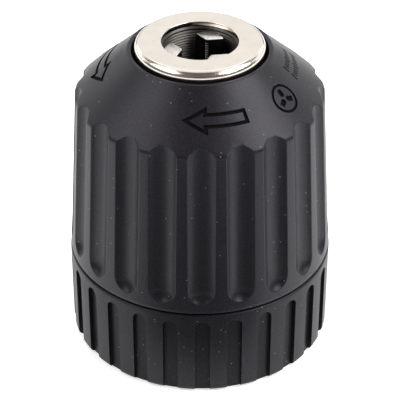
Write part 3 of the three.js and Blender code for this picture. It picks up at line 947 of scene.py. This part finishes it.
class CHUCK_OT_materials(bpy.types.Operator):
    """Makes the finishes that the pieces take"""

    bl_idname = "chuck.materials"
    bl_label = "Finishes"

    def execute(self, context):
        f = context.scene.chuck_finishes
        moulded_nylon("nylon_moulded_front", f.grip, 0.28 * MM, 0.33)
        moulded_nylon("nylon_moulded_rear", f.grip, 0.28 * MM, 0.27)
        # Same nylon with a lower specular level, for the slot faces: painted shade.
        moulded_nylon("nylon_moulded_slots", f.grip, 0.28 * MM, 0.17)
        plated_nickel(f.nickel)
        worked_steel("steel_turned_oiled", f.steel, (0.15, 0.15, 1), 0.25 * MM, 0.32, 0.5)
        # Near-black painted shade for the faces of the engraved marks.
        recess_shade_material("paint_matt_black", f.paint)
        worked_steel("steel_ground_bright", f.jaw, (1, 0.25, 1), 0.25 * MM, 0.28, 0.42)
        worked_steel("steel_black_oxide", f.oxide, (1, 1, 0.3), 0.3 * MM, 0.35, 0.5)
        worked_steel("steel_bearing_ground", f.race, (0.4, 0.4, 1), 0.2 * MM, 0.18, 0.3)
        worked_steel("steel_ball_polished", f.race, (1, 1, 1), 0.5 * MM, 0.05, 0.1)
        worked_steel("steel_hardened_nut", f.steel, (0.3, 0.3, 1), 0.3 * MM, 0.35, 0.5)
        worked_steel("zinc_passivated", f.zinc, (1, 1, 1), 0.6 * MM, 0.35, 0.5)
        worked_steel("brass_stamped", f.brass, (1, 1, 1), 0.5 * MM, 0.3, 0.45)
        return {"FINISHED"}


# Stage


def aim(obj, place, target):
    obj.location = place
    obj.rotation_euler = (Vector(target) - Vector(place)).to_track_quat("-Z", "Y").to_euler()
    bpy.context.scene.collection.objects.link(obj)


def heading(azimuth, elevation, distance):
    """A place round the chuck: azimuth 0 is in front of it, and 90 to its right."""
    a, e = math.radians(azimuth), math.radians(elevation)
    level = distance * math.cos(e)
    return Vector((level * math.sin(a), -level * math.cos(a), distance * math.sin(e))) + AIM


def softbox(name, azimuth, elevation, width, height, brightness):
    """A soft rectangular light that faces the chuck, by its brightness in W/m2 per steradian."""
    light = bpy.data.lights.new(name, "AREA")
    light.shape = "RECTANGLE"
    light.size, light.size_y = width, height
    light.energy = brightness * math.pi * width * height
    aim(bpy.data.objects.new(name, light), heading(azimuth, elevation, 0.6), AIM)


def card(name, place, target, width, height, material):
    """A flat studio card that faces the target; returns it."""
    bm = bmesh.new()
    bmesh.ops.create_grid(bm, x_segments=1, y_segments=1, size=0.5)
    bmesh.ops.scale(bm, verts=bm.verts[:], vec=(width, height, 1))
    mesh = bpy.data.meshes.new(name)
    bm.to_mesh(mesh)
    bm.free()
    mesh.materials.append(material)
    obj = bpy.data.objects.new(name, mesh)
    aim(obj, place, target)
    return obj


def lit_sheet(name, scale, dark, light):
    """Matt studio sheet that is lit from behind, with a fine fibre."""
    material, tree, shader, place = start_material(name)
    fibre = add_node(tree, "ShaderNodeTexNoise", {"Vector": place, "Scale": scale})
    tone = ramp(tree, fibre.outputs["Fac"], (0.0, (dark, dark, dark, 1)), (1.0, (light, light, light, 1)))
    for socket in ("Base Color", "Emission Color"):
        tree.links.new(tone, shader.inputs[socket])
    shader.inputs["Emission Strength"].default_value = 0.6
    shader.inputs["Roughness"].default_value = 0.9
    shader.inputs["Specular IOR Level"].default_value = 0.1
    return material, tree, shader, place


def grey_felt():
    """Dim felt with a feathered edge, for the chuck's sides to mirror."""
    material, tree, shader, place = lit_sheet("studio_felt", 90.0, 0.13, 0.17)
    away = add_node(tree, "ShaderNodeVectorMath", {0: place}, operation="LENGTH").outputs["Value"]
    fade = add_node(tree, "ShaderNodeMapRange", {
        "Value": away, "From Min": FELT_CORE, "From Max": FELT_EDGE, "To Min": 1.0, "To Max": 0.0},
        interpolation_type="SMOOTHSTEP")
    tree.links.new(fade.outputs["Result"], shader.inputs["Alpha"])
    return material


def brown_card():
    """Brown board that stands for the dark end of the studio."""
    material, tree, shader, place = start_material("studio_brown_board")
    fibre = add_node(tree, "ShaderNodeTexNoise", {"Vector": place, "Scale": 26.0, "Detail": 3.0})
    tone = ramp(tree, fibre.outputs["Fac"], (0.42, (0.01, 0.008, 0.007, 1)), (0.62, (0.15, 0.12, 0.1, 1)))
    tree.links.new(tone, shader.inputs["Base Color"])
    shader.inputs["Roughness"].default_value = 0.9
    return material


class CHUCK_OT_stage(bpy.types.Operator):
    """Sets the pale floor, the soft studio light and the camera"""

    bl_idname = "chuck.stage"
    bl_label = "Stage"

    def execute(self, context):
        scene = context.scene
        scene.view_settings.view_transform = "Standard"
        paper = lit_sheet("studio_paper", 60.0, 0.92, 0.95)[0]
        card("floor", (0, 0, -0.1 * MM), (0, 0, -1), 6, 6, paper)
        felt_target = (FELT_PLACE[0], FELT_PLACE[1], 1)
        felt = card("felt", FELT_PLACE, felt_target, 2 * FELT_EDGE, 2 * FELT_EDGE, grey_felt())
        felt.visible_camera = False
        felt.visible_shadow = False
        board = brown_card()
        card("front_board", heading(0, 22, 0.55), AIM, 0.2, 0.3, board)
        card("high_board", heading(0, 66, 0.55), AIM, 0.54, 0.36, board)
        world = bpy.data.worlds.new("studio")
        world.use_nodes = True
        sky = world.node_tree.nodes["Background"].inputs
        sky["Color"].default_value = (1, 1, 1, 1)
        sky["Strength"].default_value = 0.16
        scene.world = world
        softbox("back", 180, 33, 1.0, 0.5, 0.86)
        softbox("left_high", -72, 50, 0.5, 0.42, 2.6)
        softbox("right_high", 72, 50, 0.5, 0.42, 5.4)
        softbox("top_back", 180, 70, 0.5, 0.4, 0.9)
        softbox("left_low", -125, 18, 0.4, 0.3, 1.1)
        softbox("right_low", 125, 18, 0.4, 0.3, 1.0)
        camera = bpy.data.cameras.new("camera")
        camera.sensor_width = 36
        camera.lens = LENS
        view = bpy.data.objects.new("camera", camera)
        aim(view, heading(0, CAMERA_ELEVATION, CAMERA_DISTANCE), AIM)
        scene.camera = view
        return {"FINISHED"}


def inner_radius(node):
    """Smallest distance from the chuck's axis to a node's corners."""
    return min(math.hypot(v.co.x, v.co.y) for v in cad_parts[node].data.vertices)


COVER_LOW_RADIUS = inner_radius("rear_cover")
RACE_RADIUS = inner_radius("rear_race")

PIECES = (CHUCK_OT_materials, CHUCK_OT_front_sleeve, CHUCK_OT_rear_sleeve, CHUCK_OT_rear_cover,
          CHUCK_OT_nosepiece, CHUCK_OT_body, CHUCK_OT_jaws, CHUCK_OT_bearing,
          CHUCK_OT_hidden_drive, CHUCK_OT_stage)
SETTINGS = {"chuck_sleeves": ChuckSleeves, "chuck_nose": ChuckNose, "chuck_jaws": ChuckJaws,
            "chuck_finishes": ChuckFinishes}


class CHUCK_PT_panel(bpy.types.Panel):
    bl_idname = "CHUCK_PT_panel"
    bl_label = "Keyless Drill Chuck"
    bl_space_type = "VIEW_3D"
    bl_region_type = "UI"
    bl_category = "Chuck"

    def draw(self, context):
        for name in SETTINGS:
            group = getattr(context.scene, name)
            column = self.layout.box().column()
            for key in group.__annotations__:
                column.prop(group, key)
        for piece in PIECES:
            self.layout.operator(piece.bl_idname)


CLASSES = (*SETTINGS.values(), *PIECES, CHUCK_PT_panel)


def register():
    for cls in CLASSES:
        bpy.utils.register_class(cls)
    for name, group in SETTINGS.items():
        setattr(bpy.types.Scene, name, bpy.props.PointerProperty(type=group))


def unregister():
    for name in SETTINGS:
        delattr(bpy.types.Scene, name)
    for cls in reversed(CLASSES):
        bpy.utils.unregister_class(cls)


def main():
    register()
    for piece in PIECES:
        group, action = piece.bl_idname.split(".")
        getattr(getattr(bpy.ops, group), action)()


if __name__ == "__main__":
    main()
